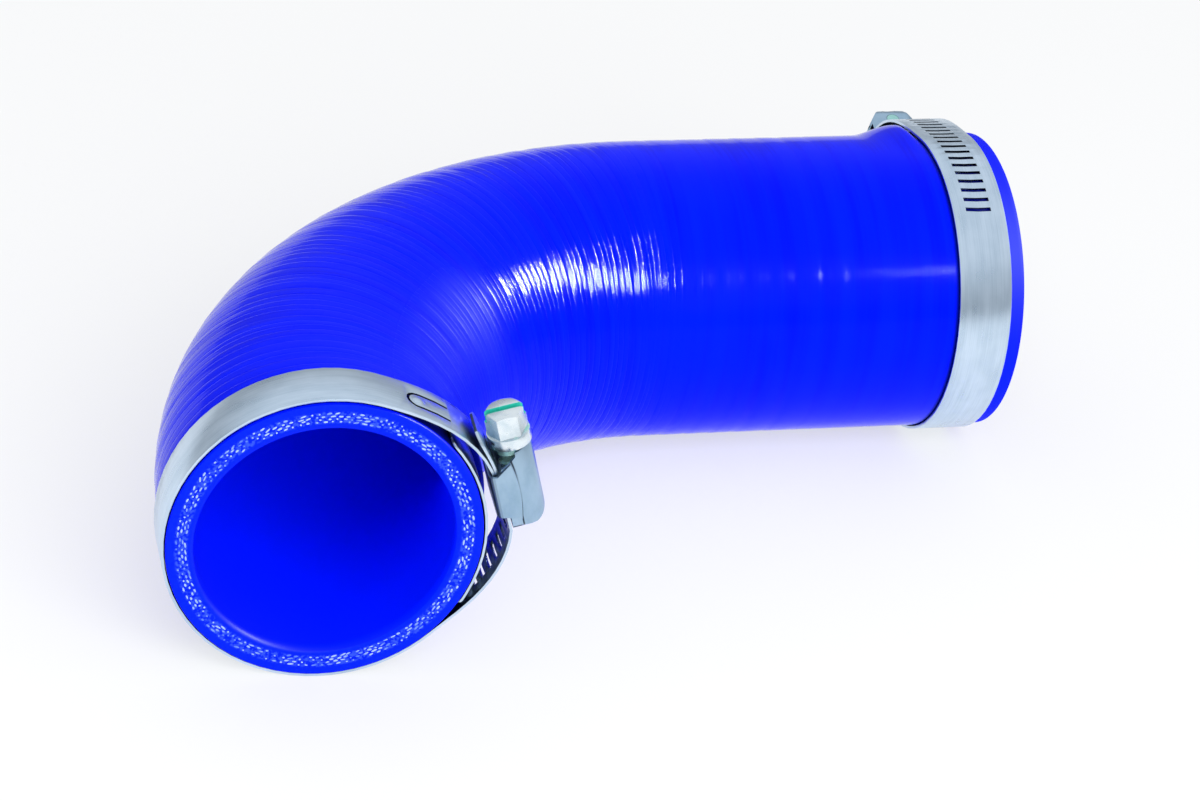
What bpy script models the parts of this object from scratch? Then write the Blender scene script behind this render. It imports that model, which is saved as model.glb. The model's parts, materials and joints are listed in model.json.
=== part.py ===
"""Intercooler hose elbow: a moulded silicone bend with a perforated worm-drive clamp at each end.

The near leg is drawn along +Y, and at the end the part is turned so that its far leg runs along +X. Each
clamp is drawn in its own frame: its origin is on the hose's axis, +X points out through the middle of the
housing, +Y follows the band round to the tip of the screw, and +Z runs along the hose.
"""

from math import acos, atan2, ceil, cos, hypot, pi, radians, sin, sqrt, tan

import bmesh
import bpy
from mathutils import Matrix, Vector

MM = 0.001

# Hose
BORE = 57.0 * MM
WALL = 6.0 * MM
BEND_RADIUS = 98.0 * MM
BEND_ANGLE = radians(84.0)
NEAR_STRAIGHT = 13.0 * MM
FAR_STRAIGHT = 85.0 * MM
BEND_STEPS = 20
HOSE_SIDE_RESOLUTION = 20

# Band, one strip from its fixed end in the saddle, once round the hose and out as the free tail
BAND_WIDTH = 12.7 * MM
BAND_THICKNESS = 0.6 * MM
PIECE_GAP = 0.3 * MM
LAYER_GAP = 0.45 * MM
NEAR_INSET = 0.6 * MM
FAR_INSET = 3.6 * MM
HEAD_SIDE_LIFT = radians(56.0)
TIP_SIDE_LIFT = radians(61.0)
TAIL_REACH = 16.0 * MM
TAIL_CURL = 45.0 * MM
TAIL_SLOPE = radians(15.0)
TAIL_CORNER = 3.4 * MM
PLAIN_STEP = 3.6 * MM

# Slots that the worm drives
SLOT_COUNT = 31
SLOT_PITCH = 2.65 * MM
SLOT_LENGTH = 6.2 * MM
SLOT_OPENING = 1.0 * MM
SLOT_BOW = -0.12 * MM
SLOT_SLANT = radians(1.5)
TAIL_PLAIN = 5.8 * MM

# Lanced tab with its pressed dimple, on the plain side of the band
TAB_WIDTH = 5.8 * MM
TAB_SLIT = 0.7 * MM
TAB_ROOT = radians(30.5)
TAB_END = radians(47.0)
DIMPLE_RADIUS = 1.6 * MM
DIMPLE_HEIGHT = 0.75 * MM

# Tongue, the loose strip that bridges the gap under the housing
TONGUE_HEAD_SIDE = radians(27.0)
TONGUE_TIP_SIDE = radians(46.0)
TONGUE_CORNER = 2.0 * MM

# Saddle, the pressed channel that holds both layers of the band
SHEET = 0.65 * MM
SADDLE_STANDOFF = 2.6 * MM
SADDLE_HEAD_SIDE = 5.6 * MM
SADDLE_TIP_SIDE = 5.0 * MM
SADDLE_FLARE = 2.6 * MM
SADDLE_WALL = 5.2 * MM
SADDLE_CROWN = 0.8 * MM
SADDLE_CORNER = 1.8 * MM
SADDLE_SIDE_CLEARANCE = 0.65 * MM
FIXED_END = 4.4 * MM

# Housing, the pressed hood over the screw
HOOD_HEAD_SIDE = 9.2 * MM
HOOD_VISOR = 6.4 * MM
HOOD_TIP_SIDE = 10.0 * MM
HOOD_CLEARANCE = 0.35 * MM
HOOD_SHOULDER = 1.9 * MM
HOOD_NOSE = 3.2 * MM

# Screw
WORM_CREST = 3.5 * MM
WORM_CORE = 2.8 * MM
WORM_CLEARANCE = 0.45 * MM
WORM_RUN_OUT = 1.0 * MM
THREAD_STEPS = 14
PILOT_RADIUS = 1.5 * MM
PILOT_CLEARANCE = 0.08 * MM
COLLAR_RADIUS = 4.8 * MM
COLLAR_THICKNESS = 2.6 * MM
HEX_ACROSS_FLATS = 7.94 * MM
HEX_HEIGHT = 5.6 * MM
HEX_TURN = radians(30.0)
HEX_CHAMFER = 1.0 * MM
DRIVER_SLOT = 1.3 * MM
DRIVER_SLOT_DEPTH = 2.2 * MM

# Where each housing sits round its leg, from the outer side of the bend over the top
NEAR_HOUSING_ANGLE = radians(162.5)
FAR_HOUSING_ANGLE = radians(16.2)

# Levels over the hose, as distances from its axis
HOSE_RADIUS = BORE / 2 + WALL
RING_RADIUS = HOSE_RADIUS + PIECE_GAP + BAND_THICKNESS / 2
SADDLE_FLOOR = HOSE_RADIUS + SADDLE_STANDOFF
FIXED_LEVEL = SADDLE_FLOOR + SHEET + PIECE_GAP + BAND_THICKNESS / 2
FREE_LEVEL = FIXED_LEVEL + BAND_THICKNESS + LAYER_GAP
BAND_TOP = FREE_LEVEL + BAND_THICKNESS / 2
SCREW_LEVEL = BAND_TOP + WORM_CLEARANCE + WORM_CREST
HOOD_BASE = BAND_TOP + PIECE_GAP
HOOD_INNER = WORM_CREST + HOOD_CLEARANCE
HOOD_OUTER = HOOD_INNER + SHEET
SADDLE_HALF_WIDTH = BAND_WIDTH / 2 + SADDLE_SIDE_CLEARANCE + SHEET
HOOD_HALF_WIDTH = SADDLE_HALF_WIDTH - SHEET - PIECE_GAP

PARTS = "intercooler_hose_elbow"
CUTTERS = "cutters"


def clear_scene():
    for obj in list(bpy.data.objects):
        bpy.data.objects.remove(obj, do_unlink=True)


def collection(name):
    made = bpy.data.collections.new(name)
    bpy.context.scene.collection.children.link(made)
    return made


def material(name, colour, roughness, metallic):
    made = bpy.data.materials.new(name)
    made.use_nodes = True
    shader = made.node_tree.nodes["Principled BSDF"]
    shader.inputs["Base Color"].default_value = (*colour, 1.0)
    shader.inputs["Roughness"].default_value = roughness
    shader.inputs["Metallic"].default_value = metallic
    return made


def add_object(name, data, where=PARTS):
    obj = bpy.data.objects.new(name, data)
    bpy.data.collections[where].objects.link(obj)
    return obj


def cutter(obj):
    """Marks a helper, so that it is not rendered and not taken for a part."""
    for holder in list(obj.users_collection):
        holder.objects.unlink(obj)
    bpy.data.collections[CUTTERS].objects.link(obj)
    obj.hide_render = True
    obj.display_type = "WIRE"
    return obj


def evaluated_mesh(obj):
    graph = bpy.context.evaluated_depsgraph_get()
    return bpy.data.meshes.new_from_object(obj.evaluated_get(graph), depsgraph=graph)


def meshed(obj):
    """The same shape as a plain mesh object, its caps welded to its sides."""
    made = evaluated_mesh(obj)
    shape = bmesh.new()
    shape.from_mesh(made)
    bmesh.ops.remove_doubles(shape, verts=shape.verts, dist=0.001 * MM)
    bmesh.ops.recalc_face_normals(shape, faces=shape.faces)
    shape.to_mesh(made)
    shape.free()
    name = obj.name
    matrix = obj.matrix_world.copy()
    bpy.data.objects.remove(obj, do_unlink=True)
    made.name = name
    result = add_object(name, made)
    result.matrix_world = matrix
    return result


def boolean(obj, other, operation):
    """Joins, cuts or trims obj by other, which becomes a cutter."""
    step = obj.modifiers.new(operation.title() + " " + other.name, "BOOLEAN")
    step.operation = operation
    step.solver = "EXACT"
    step.object = cutter(other)
    return obj


def settled(obj):
    """Applies the modifiers, so that the shape can be bent or joined to another."""
    made = evaluated_mesh(obj)
    obj.modifiers.clear()
    obj.data = made
    return obj


def flat_outline(name, outlines, thickness):
    """A flat plate with holes: the first outline is its edge, and it lies half above and half below z = 0."""
    curve = bpy.data.curves.new(name, "CURVE")
    curve.dimensions = "2D"
    curve.fill_mode = "BOTH"
    curve.extrude = thickness / 2
    for outline in outlines:
        spline = curve.splines.new("POLY")
        spline.points.add(len(outline) - 1)
        spline.use_cyclic_u = True
        for point, (x, y) in zip(spline.points, outline):
            point.co = (x, y, 0, 1)
    return meshed(add_object(name, curve))


def turned(name, profile, steps):
    """A solid turned about Z from a profile of (radius, height), listed from its top down its outer side."""
    mesh = bpy.data.meshes.new(name)
    mesh.from_pydata([(r, 0, z) for r, z in profile], [(i, i + 1) for i in range(len(profile) - 1)], [])
    obj = add_object(name, mesh)
    screw = obj.modifiers.new("Turn", "SCREW")
    screw.axis = "Z"
    screw.steps = steps
    screw.render_steps = steps
    screw.use_merge_vertices = True
    screw.merge_threshold = 0.001 * MM
    return settled(obj)


def box(name, low, high):
    """A block between two corners."""
    mesh = bpy.data.meshes.new(name)
    shape = bmesh.new()
    bmesh.ops.create_cube(shape, size=1.0)
    size = Vector(high) - Vector(low)
    middle = (Vector(high) + Vector(low)) / 2
    bmesh.ops.scale(shape, vec=size, verts=shape.verts)
    bmesh.ops.translate(shape, vec=middle, verts=shape.verts)
    shape.to_mesh(mesh)
    shape.free()
    return add_object(name, mesh)


def corner_arc(centre, radius, start, end, steps=6):
    """Points on an arc in the plane, from one angle to another, ends included."""
    angles = [start + (end - start) * i / steps for i in range(steps + 1)]
    return [(centre[0] + radius * cos(a), centre[1] + radius * sin(a)) for a in angles]


def smooth_step(share):
    return share * share * (3 - 2 * share)


# Hose


def hose_path():
    """The hose's axis: the near leg along +Y, the bend towards +X, then the far leg."""
    points = [Vector((0, -NEAR_STRAIGHT, 0))]
    for i in range(BEND_STEPS + 1):
        turn = BEND_ANGLE * i / BEND_STEPS
        points.append(Vector((BEND_RADIUS * (1 - cos(turn)), BEND_RADIUS * sin(turn), 0)))
    points.append(points[-1] + FAR_STRAIGHT * Vector((sin(BEND_ANGLE), cos(BEND_ANGLE), 0)))
    return points


def make_hose():
    """The moulded elbow in one piece: an open tube, given its wall inwards, with square cut ends."""
    curve = bpy.data.curves.new("hose_elbow", "CURVE")
    curve.dimensions = "3D"
    curve.bevel_depth = HOSE_RADIUS
    curve.bevel_resolution = HOSE_SIDE_RESOLUTION
    path = hose_path()
    spline = curve.splines.new("POLY")
    spline.points.add(len(path) - 1)
    for point, place in zip(spline.points, path):
        point.co = (*place, 1)
    hose = meshed(add_object("hose_elbow", curve))
    wall = hose.modifiers.new("Wall", "SOLIDIFY")
    wall.thickness = WALL
    wall.offset = -1
    wall.use_even_offset = True
    return settled(hose)


# Strips that are rolled to their path and then punched


class StripPath:
    """The line that a strip follows in the clamp's XY plane, read by distance along it."""

    def __init__(self, points):
        self.points = [Vector((*point, 0)) for point in points]
        self.marks = [0.0]
        for here, following in zip(self.points, self.points[1:]):
            self.marks.append(self.marks[-1] + (following - here).length)
        self.length = self.marks[-1]

    def at(self, distance):
        """The place at that distance from the start."""
        i = 1
        while i < len(self.marks) - 1 and self.marks[i] < distance:
            i += 1
        share = (distance - self.marks[i - 1]) / (self.marks[i] - self.marks[i - 1])
        return self.points[i - 1].lerp(self.points[i], share)

    def distance_at(self, angle):
        """How far along the strip first reaches this angle, counted from the housing towards the head."""
        for place, mark in zip(self.points, self.marks):
            if atan2(-place.y, place.x) >= angle:
                return mark
        return self.length

    def frame(self, start, end):
        """A frame on the chord between two distances: X along the strip, Y across it and Z outwards."""
        along = (self.at(end) - self.at(start)).normalized()
        across = Vector((0, 0, -1))
        turn = Matrix((along, across, along.cross(across))).transposed().to_4x4()
        return Matrix.Translation((self.at(start) + self.at(end)) / 2) @ turn


def ring_arc(start, end, radius_at, steps):
    """Points from one angle to another round the hose, counted from the housing towards the screw's tip."""
    angles = [start + (end - start) * i / steps for i in range(steps + 1)]
    return [(radius_at(a) * cos(a), radius_at(a) * sin(a)) for a in angles]


def on_hose(angle):
    return RING_RADIUS


def lifted(level, free_angle, lift_angle):
    """The radius where the band eases down from the straight stretch in the housing onto the hose."""
    raised = level / cos(free_angle)

    def radius_at(angle):
        share = (abs(angle) - free_angle) / (lift_angle - free_angle)
        return raised + (RING_RADIUS - raised) * smooth_step(min(max(share, 0.0), 1.0))

    return radius_at


def band_path():
    """From the fixed end in the saddle, past the head, round the hose and back through to the tail."""
    head_angle = atan2(SADDLE_HEAD_SIDE, FIXED_LEVEL)
    tip_angle = atan2(HOOD_TIP_SIDE - SHEET, FREE_LEVEL)
    points = [(FIXED_LEVEL, FIXED_END)]
    points += ring_arc(-head_angle, -HEAD_SIDE_LIFT, lifted(FIXED_LEVEL, head_angle, HEAD_SIDE_LIFT), 40)
    points += ring_arc(-HEAD_SIDE_LIFT, TIP_SIDE_LIFT - 2 * pi, on_hose, 160)[1:]
    points += ring_arc(TIP_SIDE_LIFT, tip_angle, lifted(FREE_LEVEL, tip_angle, TIP_SIDE_LIFT), 40)[1:]
    curl = corner_arc((FREE_LEVEL - TAIL_CURL, 0), TAIL_CURL, 0, -TAIL_SLOPE, 24)
    straight = TAIL_REACH + curl[-1][1]
    points += curl + [(curl[-1][0] - straight * tan(TAIL_SLOPE), -TAIL_REACH)]
    return StripPath(points)


def tongue_path():
    return StripPath(ring_arc(TONGUE_TIP_SIDE, -TONGUE_HEAD_SIDE, on_hose, 60))


def rolled_strip(name, path, stations, start_corner, end_corner):
    """A strip of band along its path, folded at each station, with its corners cut round at each end."""
    for corner, end in ((start_corner, 0), (end_corner, path.length)):
        if corner:
            stations = stations + [abs(end - corner * share) for share in (0.08, 0.3, 0.62, 1)]
    rows = []
    for distance in sorted(stations + [0, path.length]):
        half = BAND_WIDTH / 2
        for corner, away in ((start_corner, distance), (end_corner, path.length - distance)):
            if away < corner:
                half -= corner - sqrt(corner**2 - (corner - away) ** 2)
        place = path.at(distance)
        rows += [(*place.xy, half), (*place.xy, -half)]
    faces = [(i, i + 1, i + 3, i + 2) for i in range(0, len(rows) - 2, 2)]
    mesh = bpy.data.meshes.new(name)
    mesh.from_pydata(rows, [], faces)
    strip = add_object(name, mesh)
    sheet = strip.modifiers.new("Sheet", "SOLIDIFY")
    sheet.thickness = BAND_THICKNESS
    sheet.offset = 0
    sheet.use_even_offset = True
    return settled(strip)


def slot_outline():
    """One slot across the band, bowed and slanted as the worm's thread needs it."""
    half_length = SLOT_LENGTH / 2
    half_opening = SLOT_OPENING / 2
    lower = [(-half_opening, -half_length), (SLOT_BOW - half_opening, 0), (-half_opening, half_length)]
    upper = [(x + SLOT_OPENING, y) for x, y in reversed(lower)]
    return [(x + y * tan(SLOT_SLANT), y) for x, y in lower + upper]


def tab_slit(length):
    """The U-shaped cut round three sides of the lanced tab, whose root is nearer the housing."""
    outer = TAB_WIDTH / 2
    inner = outer - TAB_SLIT
    centre = (length / 2 - outer, 0)
    around = corner_arc(centre, outer, -pi / 2, pi / 2, 8)
    within = corner_arc(centre, inner, pi / 2, -pi / 2, 8)
    root = -length / 2
    return [(root, -outer), *around, (root, outer), (root, inner), *within, (root, -inner)]


def punch(name, outline, frames):
    """A row of cutters of this outline, one at each frame."""
    tool = flat_outline(name, [outline], 6 * BAND_THICKNESS)
    row = bmesh.new()
    for frame in frames:
        start = len(row.verts)
        row.from_mesh(tool.data)
        row.verts.ensure_lookup_table()
        bmesh.ops.transform(row, matrix=frame, verts=row.verts[start:])
    row.to_mesh(tool.data)
    row.free()
    return tool


def pressed_dimple(name, frame):
    angles = [radians(90) * i / 4 for i in range(5)]
    dome = [(DIMPLE_RADIUS * sin(a), DIMPLE_HEIGHT * cos(a)) for a in angles]
    dimple = turned(name, [*dome, (0, 0)], 16)
    dimple.data.transform(frame)
    return dimple


def even_stations(start, end, step):
    """Evenly spaced folds between two distances, the ends left out."""
    count = max(int(ceil((end - start) / step)), 1)
    return [start + (end - start) * i / count for i in range(1, count)]


def make_band(name):
    path = band_path()
    last_slot = path.length - TAIL_PLAIN
    half_pitch = SLOT_PITCH / 2
    slots = [last_slot - SLOT_PITCH * i for i in range(SLOT_COUNT)]
    folds = [last_slot + half_pitch] + [middle - half_pitch for middle in slots]
    plain = even_stations(0, folds[-1], PLAIN_STEP)
    band = rolled_strip(name, path, plain + folds, 0, TAIL_CORNER)
    slot_frames = [path.frame(middle - half_pitch, middle + half_pitch) for middle in slots]
    boolean(band, punch(name + "_slots", slot_outline(), slot_frames), "DIFFERENCE")
    tab_start, tab_end = path.distance_at(TAB_ROOT), path.distance_at(TAB_END)
    slit = tab_slit(tab_end - tab_start)
    boolean(band, punch(name + "_tab", slit, [path.frame(tab_start, tab_end)]), "DIFFERENCE")
    settled(band)
    middle = tab_end - TAB_WIDTH / 2
    dimple = pressed_dimple(name + "_dimple", path.frame(middle - half_pitch, middle + half_pitch))
    return settled(boolean(band, dimple, "UNION"))


def make_tongue(name):
    path = tongue_path()
    return rolled_strip(name, path, even_stations(0, path.length, PLAIN_STEP), TONGUE_CORNER, TONGUE_CORNER)


# Pressed sheet pieces, drawn as a section along the screw and trimmed to a side outline


def along_screw(name, section, start, end):
    """A bar of this (across, up) section, from one place along the screw to another."""
    bar = flat_outline(name, [section], end - start)
    middle = (start + end) / 2
    turn = Matrix(((0, 1, 0, 0), (0, 0, 1, middle), (1, 0, 0, 0), (0, 0, 0, 1)))
    bar.data.transform(turn)
    return bar


def across_screw(name, outline, width):
    """A block of this (up, along) side outline, as wide as given and centred on the band."""
    return flat_outline(name, [outline], width)


def saddle_section(half_width, floor, corner, top):
    """A channel's outline as (across, up), with round lower corners."""
    section = [(half_width, top)]
    section += corner_arc((half_width - corner, floor + corner), corner, 0, -pi / 2, 5)
    section += corner_arc((-half_width + corner, floor + corner), corner, -pi / 2, -pi, 5)
    section.append((-half_width, top))
    return section


def saddle_side():
    """The wing's side outline: straight floor, flared ends and a gently crowned upper edge."""
    top = SADDLE_FLOOR + SADDLE_WALL
    low_head = -SADDLE_HEAD_SIDE
    low_tip = SADDLE_TIP_SIDE
    high_head = low_head - SADDLE_FLARE
    high_tip = low_tip + SADDLE_FLARE / 2
    crown = [(top + SADDLE_CROWN * sin(pi * i / 8), high_tip + (high_head - high_tip) * i / 8) for i in range(9)]
    foot = SADDLE_FLOOR - SHEET
    bend_line = SADDLE_FLOOR + SADDLE_CORNER
    return [(foot, low_head), (bend_line, low_head), *reversed(crown), (bend_line, low_tip), (foot, low_tip)]


def make_saddle(name):
    reach = 2 * (HOOD_HEAD_SIDE + HOOD_TIP_SIDE)
    top = SADDLE_FLOOR + SADDLE_WALL + 2 * SADDLE_CROWN
    outer = saddle_section(SADDLE_HALF_WIDTH, SADDLE_FLOOR, SADDLE_CORNER, top)
    inner_corner = max(SADDLE_CORNER - SHEET, 0.1 * MM)
    above = top + SHEET
    inner = saddle_section(SADDLE_HALF_WIDTH - SHEET, SADDLE_FLOOR + SHEET, inner_corner, above)
    saddle = along_screw(name, outer, -reach, reach)
    boolean(saddle, along_screw(name + "_channel", inner, -reach - SHEET, reach + SHEET), "DIFFERENCE")
    side = across_screw(name + "_side", saddle_side(), 3 * SADDLE_HALF_WIDTH)
    return settled(boolean(saddle, side, "INTERSECT"))


def hood_section(radius, half_width, base):
    """The hood's outline as (across, up): legs, sloping shoulders and a round crown over the screw."""
    shoulder = (half_width, HOOD_BASE + HOOD_SHOULDER)
    offset = (shoulder[0], shoulder[1] - SCREW_LEVEL)
    touch = atan2(offset[1], offset[0]) + acos(min(radius / hypot(*offset), 1.0))
    crown = corner_arc((0, SCREW_LEVEL), radius, touch, pi - touch, 14)
    return [(half_width, base), shoulder, *crown, (-half_width, shoulder[1]), (-half_width, base)]


def hood_side():
    """The hood's side outline: a visor over the worm, full legs by the saddle and a rounded nose."""
    top = SCREW_LEVEL + HOOD_OUTER + SHEET
    nose = (SCREW_LEVEL + HOOD_OUTER - HOOD_NOSE, HOOD_TIP_SIDE - HOOD_NOSE)
    rounded = corner_arc(nose, HOOD_NOSE, pi / 2, 0, 6)
    return [
        (HOOD_BASE - SHEET, -HOOD_VISOR),
        (HOOD_BASE - SHEET, HOOD_TIP_SIDE),
        *rounded,
        (SCREW_LEVEL + HOOD_OUTER, HOOD_TIP_SIDE - HOOD_NOSE - SHEET),
        (top, HOOD_TIP_SIDE - HOOD_NOSE - SHEET),
        (top, -HOOD_HEAD_SIDE),
        (SCREW_LEVEL, -HOOD_HEAD_SIDE),
        (SCREW_LEVEL, -HOOD_VISOR - HOOD_SHOULDER),
    ]


def rounded_nose(name):
    """A block, wide everywhere but at the screw's tip, where its corners are cut round."""
    corner = (HOOD_HALF_WIDTH - HOOD_NOSE, HOOD_TIP_SIDE - HOOD_NOSE)
    right = corner_arc(corner, HOOD_NOSE, 0, pi / 2, 6)
    left = [(-x, y) for x, y in reversed(right)]
    back = -HOOD_HEAD_SIDE - SHEET
    side = HOOD_HALF_WIDTH + SHEET
    outline = [(side, back), (side, corner[1]), *right, *left, (-side, corner[1]), (-side, back)]
    block = flat_outline(name, [outline], 4 * HOOD_OUTER)
    lay = Matrix(((0, 0, 1, SCREW_LEVEL), (0, 1, 0, 0), (-1, 0, 0, 0), (0, 0, 0, 1)))
    block.data.transform(lay)
    return block


def make_housing(name):
    outer = hood_section(HOOD_OUTER, HOOD_HALF_WIDTH, HOOD_BASE)
    inner = hood_section(HOOD_INNER, HOOD_HALF_WIDTH - SHEET, HOOD_BASE - SHEET)
    housing = along_screw(name, outer, -HOOD_HEAD_SIDE, HOOD_TIP_SIDE)
    cavity = along_screw(name + "_cavity", inner, -HOOD_HEAD_SIDE - SHEET, HOOD_TIP_SIDE - SHEET)
    boolean(housing, cavity, "DIFFERENCE")
    boolean(housing, across_screw(name + "_side", hood_side(), 3 * HOOD_HALF_WIDTH), "INTERSECT")
    boolean(housing, rounded_nose(name + "_nose"), "INTERSECT")
    hole_radius = PILOT_RADIUS + PILOT_CLEARANCE
    profile = [(0, HOOD_TIP_SIDE), (hole_radius, HOOD_TIP_SIDE), (hole_radius, -HOOD_TIP_SIDE), (0, -HOOD_TIP_SIDE)]
    pilot_hole = turned(name + "_pilot_hole", profile, 48)
    lift = Matrix.Translation((SCREW_LEVEL, HOOD_TIP_SIDE, 0)) @ Matrix.Rotation(-pi / 2, 4, "X")
    pilot_hole.data.transform(lift)
    return settled(boolean(housing, pilot_hole, "DIFFERENCE"))


# Screw, drawn along Z with its head below and its pilot above


def make_thread(name, start, end):
    """The worm's ridge: a square bar wound round the core, whose outer edge is the crest."""
    curve = bpy.data.curves.new(name, "CURVE")
    curve.dimensions = "3D"
    curve.bevel_depth = WORM_CREST - WORM_CORE
    curve.bevel_resolution = 0
    curve.use_fill_caps = True
    turns = (end - start) / SLOT_PITCH
    count = int(round(turns * THREAD_STEPS))
    spline = curve.splines.new("POLY")
    spline.points.add(count)
    for i, point in enumerate(spline.points):
        angle = 2 * pi * turns * i / count
        height = start + (end - start) * i / count
        point.co = (WORM_CORE * cos(angle), WORM_CORE * sin(angle), height, 1)
    return meshed(add_object(name, curve))


def hex_head(name, low, high):
    """The six-sided head, its outer corners chamfered and its face slotted for a driver."""
    corner_radius = HEX_ACROSS_FLATS / 2 / cos(pi / 6)
    mesh = bpy.data.meshes.new(name)
    shape = bmesh.new()
    bmesh.ops.create_cone(
        shape, cap_ends=True, segments=6, radius1=corner_radius, radius2=corner_radius, depth=high - low
    )
    bmesh.ops.translate(shape, vec=(0, 0, (high + low) / 2), verts=shape.verts)
    bmesh.ops.rotate(shape, matrix=Matrix.Rotation(HEX_TURN, 3, "Z"), verts=shape.verts)
    shape.to_mesh(mesh)
    shape.free()
    head = add_object(name, mesh)
    beyond = high + HEX_CHAMFER
    wide = corner_radius + HEX_CHAMFER
    chamfer = [(0, beyond), (wide, beyond), (wide, low + HEX_CHAMFER), (wide - 2 * HEX_CHAMFER, low), (0, low)]
    boolean(head, turned(name + "_chamfer", chamfer, 36), "INTERSECT")
    slot_low = (-2 * corner_radius, -DRIVER_SLOT / 2, low - HEX_CHAMFER)
    slot_high = (2 * corner_radius, DRIVER_SLOT / 2, low + DRIVER_SLOT_DEPTH)
    boolean(head, box(name + "_driver_slot", slot_low, slot_high), "DIFFERENCE")
    return settled(head)


def make_screw(name):
    """Head, collar, worm and pilot in one piece, turned about Z."""
    worm_end = HOOD_TIP_SIDE - SHEET - PIECE_GAP - 0.3 * MM
    collar_front = -HOOD_HEAD_SIDE - PIECE_GAP
    collar_back = collar_front - COLLAR_THICKNESS
    pilot_end = HOOD_TIP_SIDE
    profile = [
        (0, pilot_end),
        (PILOT_RADIUS, pilot_end),
        (PILOT_RADIUS, worm_end),
        (WORM_CORE, worm_end),
        (WORM_CORE, collar_front),
        (COLLAR_RADIUS, collar_front),
        (COLLAR_RADIUS, collar_back),
        (0, collar_back),
    ]
    screw = turned(name, profile, 28)
    ridge = make_thread(name + "_thread", collar_front + WORM_RUN_OUT, worm_end - WORM_RUN_OUT)
    boolean(screw, ridge, "UNION")
    overlap = COLLAR_THICKNESS / 2
    boolean(screw, hex_head(name + "_head", collar_back - HEX_HEIGHT, collar_back + overlap), "UNION")
    return settled(screw)


# Assembly


def finish(obj, look, parent):
    """Gives a piece its material, smooth round faces and its carrier."""
    obj.data.materials.clear()
    obj.data.materials.append(look)
    obj.data.shade_smooth()
    obj.data.set_sharp_from_angle(angle=radians(30))
    obj.parent = parent
    return obj


def add_empty(name, matrix, parent=None):
    empty = add_object(name, None)
    empty.parent = parent
    empty.matrix_local = matrix
    return empty


def clamp_frame(centre, outer_side, along, housing_angle):
    """The clamp's frame: +X to its housing, which lies at this angle from the outer side over the top."""
    up = Vector((0, 0, 1))
    radial = outer_side * cos(housing_angle) + up * sin(housing_angle)
    tangent = up * cos(housing_angle) - outer_side * sin(housing_angle)
    frame = Matrix((radial, tangent, along)).transposed().to_4x4()
    return Matrix.Translation(centre) @ frame


def make_clamp(prefix, frame, looks, parent):
    """One clamp: band, tongue, saddle, housing and the screw that turns in it."""
    carrier = add_empty(prefix, frame, parent)
    finish(make_band(prefix + "_band"), looks["band"], carrier)
    finish(make_tongue(prefix + "_tongue"), looks["band"], carrier)
    finish(make_saddle(prefix + "_saddle"), looks["pressing"], carrier)
    finish(make_housing(prefix + "_housing"), looks["pressing"], carrier)
    screw = finish(make_screw(prefix + "_screw"), looks["screw"], carrier)
    screw.location = (SCREW_LEVEL, 0, 0)
    screw.rotation_euler = (-pi / 2, 0, 0)
    return carrier


def stand_at_origin(root):
    """Turns the far leg along +X and moves the whole part so that the middle of its base is the origin."""
    root.rotation_euler.z = BEND_ANGLE - radians(90)
    bpy.context.view_layer.update()
    graph = bpy.context.evaluated_depsgraph_get()
    corners = []
    for obj in bpy.data.collections[PARTS].objects:
        if obj.type == "MESH":
            mesh = obj.evaluated_get(graph).data
            corners += [obj.matrix_world @ vertex.co for vertex in mesh.vertices]
    low = [min(corner[axis] for corner in corners) for axis in range(3)]
    high = [max(corner[axis] for corner in corners) for axis in range(3)]
    root.location = (-(low[0] + high[0]) / 2, -(low[1] + high[1]) / 2, -low[2])
    bpy.context.view_layer.update()


def main():
    clear_scene()
    collection(PARTS)
    collection(CUTTERS)
    silicone = material("blue_silicone", (0.0, 0.03, 0.9), 0.25, 0.0)
    looks = {
        "band": material("stainless_band", (0.62, 0.66, 0.70), 0.3, 1.0),
        "pressing": material("stainless_pressing", (0.58, 0.64, 0.69), 0.38, 1.0),
        "screw": material("plated_screw", (0.68, 0.74, 0.76), 0.3, 1.0),
    }
    root = add_empty("elbow_frame", Matrix.Identity(4))
    finish(make_hose(), silicone, root)

    near_centre = Vector((0, -NEAR_STRAIGHT + NEAR_INSET + BAND_WIDTH / 2, 0))
    near_outer, near_along = Vector((-1, 0, 0)), Vector((0, 1, 0))
    near = clamp_frame(near_centre, near_outer, near_along, NEAR_HOUSING_ANGLE)
    make_clamp("near_clamp", near, looks, root)

    far_along = Vector((sin(BEND_ANGLE), cos(BEND_ANGLE), 0))
    far_outer = Vector((-cos(BEND_ANGLE), sin(BEND_ANGLE), 0))
    far_centre = hose_path()[-1] - far_along * (FAR_INSET + BAND_WIDTH / 2)
    far = clamp_frame(far_centre, far_outer, far_along, FAR_HOUSING_ANGLE)
    make_clamp("far_clamp", far, looks, root)
    stand_at_origin(root)


main()
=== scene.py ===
"""Intercooler hose elbow: glossy blue silicone with cut fabric plies, and two stainless worm-drive clamps."""

import json
from math import atan2, ceil, cos, pi, radians, sin

import bmesh
import bpy
from mathutils import Euler, Matrix, Vector

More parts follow.
